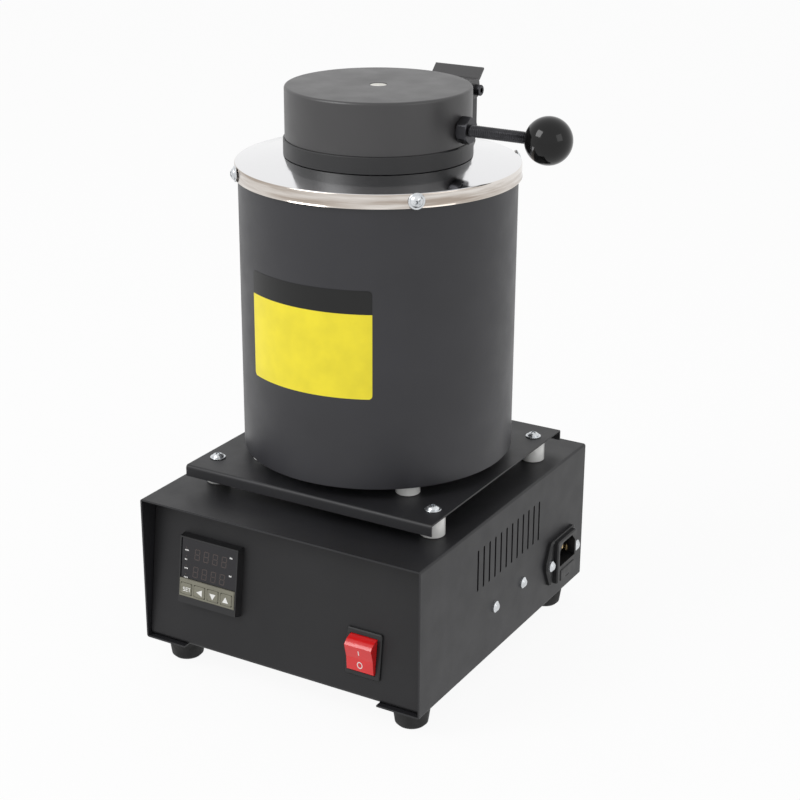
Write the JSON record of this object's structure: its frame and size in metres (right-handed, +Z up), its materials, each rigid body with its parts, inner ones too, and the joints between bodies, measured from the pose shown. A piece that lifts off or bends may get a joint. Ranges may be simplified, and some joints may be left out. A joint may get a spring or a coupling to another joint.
{
  "type": "electric gold melting furnace",
  "caption": "Upright drum furnace with a polished cap and a hinged lid with a side handle, on a sheet-metal base box with a temperature controller, rocker switch and mains inlet.",
  "frame": {"origin": "on the floor under the middle of the base box", "axes": "+Z up along the drum, the controls face -Y, the lid's handle points along +X"},
  "size_m": [0.2412, 0.2369, 0.38],
  "materials": {
    "cover_paint": "satin",
    "panel_paint": "satin",
    "drum_paint": "satin",
    "lid_paint": "satin",
    "bracket_paint": "satin",
    "polished_steel": "polished",
    "bare_steel": "satin",
    "zinc_steel": "gloss",
    "dark_steel": "satin",
    "foot_rubber": "matte",
    "white_ceramic": "gloss",
    "chamber_ceramic": "matte",
    "ceramic_fibre": "matte",
    "graphite": "matte",
    "heating_wire": "satin",
    "knob_plastic": "gloss",
    "controller_plastic": "satin",
    "window_plastic": "gloss",
    "keypad_plastic": "satin",
    "rocker_red": "gloss",
    "switch_plastic": "satin",
    "inlet_plastic": "satin",
    "relay_plastic": "matte",
    "brass": "satin",
    "fuse_glass": "gloss"
  },
  "bodies": {
    "furnace": {"base_cover": "cover_paint", "chassis_tray": "panel_paint", "rubber_feet": "foot_rubber", "foot_screws": "zinc_steel", "foot_nuts": "zinc_steel", "controller_bezel": "controller_plastic", "display_window": "window_plastic", "keypad_strip": "keypad_plastic", "controller_case": "controller_plastic", "controller_clamp": "controller_plastic", "switch_frame": "switch_plastic", "inlet_body": "inlet_plastic", "inlet_pins": "brass", "inlet_screws": "zinc_steel", "wall_nuts": "zinc_steel", "terminal_screws": "zinc_steel", "terminal_block": "white_ceramic", "solid_state_relay": "relay_plastic", "relay_screws": "zinc_steel", "heat_shield_plate": "cover_paint", "plate_spacers": "white_ceramic", "plate_washers": "zinc_steel", "plate_screws": "zinc_steel", "plate_nuts": "zinc_steel", "drum_spacers": "white_ceramic", "drum_bolts": "zinc_steel", "drum_nuts": "zinc_steel", "drum_base_plate": "bare_steel", "drum_shell": "drum_paint", "insulation_base": "ceramic_fibre", "insulation_jacket": "ceramic_fibre", "chamber_tube": "chamber_ceramic", "heating_coil": "heating_wire", "heater_terminals": "heating_wire", "terminal_beads": "white_ceramic", "hearth_brick": "chamber_ceramic", "graphite_crucible": "graphite", "thermocouple": "bare_steel", "top_cap": "polished_steel", "cap_washers": "zinc_steel", "cap_screws": "zinc_steel", "mouth_collar": "bracket_paint", "mouth_ring": "chamber_ceramic", "hinge_post": "bracket_paint", "hinge_post_screws": "zinc_steel", "hinge_bolt": "dark_steel", "hinge_nut": "dark_steel"},
    "lid": {"lid_shell": "lid_paint", "lid_insulation": "ceramic_fibre", "lid_hinge_bracket": "lid_paint", "handle_nut": "dark_steel", "handle_rod": "dark_steel", "ball_knob": "knob_plastic"},
    "rocker": {"switch_rocker": "rocker_red"},
    "set_key": {"key_set": "keypad_plastic"},
    "shift_key": {"key_shift": "keypad_plastic"},
    "down_key": {"key_down": "keypad_plastic"},
    "up_key": {"key_up": "keypad_plastic"},
    "drawer": {"fuse_drawer": "inlet_plastic", "fuse": "fuse_glass"}
  },
  "joints": [
    {"name": "lid_hinge", "type": "hinge", "parent": "furnace", "child": "lid", "pos_m": [0.0114, 0.0852, 0.3657], "axis": [-1, 0, 0], "range_deg": [0, 97]},
    {"name": "power_switch", "type": "hinge", "parent": "furnace", "child": "rocker", "pos_m": [0.0616, -0.11012, 0.04862], "axis": [-1, 0, 0], "range_deg": [0, 34]},
    {"name": "set_key_press", "type": "slide", "parent": "furnace", "child": "set_key", "axis": [0, 0.9918, -0.1279], "range_m": [0, 0.0004], "stiffness_N_per_m": 800},
    {"name": "shift_key_press", "type": "slide", "parent": "furnace", "child": "shift_key", "axis": [0, 0.9918, -0.1279], "range_m": [0, 0.0004], "stiffness_N_per_m": 800},
    {"name": "down_key_press", "type": "slide", "parent": "furnace", "child": "down_key", "axis": [0, 0.9918, -0.1279], "range_m": [0, 0.0004], "stiffness_N_per_m": 800},
    {"name": "up_key_press", "type": "slide", "parent": "furnace", "child": "up_key", "axis": [0, 0.9918, -0.1279], "range_m": [0, 0.0004], "stiffness_N_per_m": 800},
    {"name": "fuse_drawer_slide", "type": "slide", "parent": "furnace", "child": "drawer", "axis": [1, 0, 0], "range_m": [0, 0.018]}
  ]
}
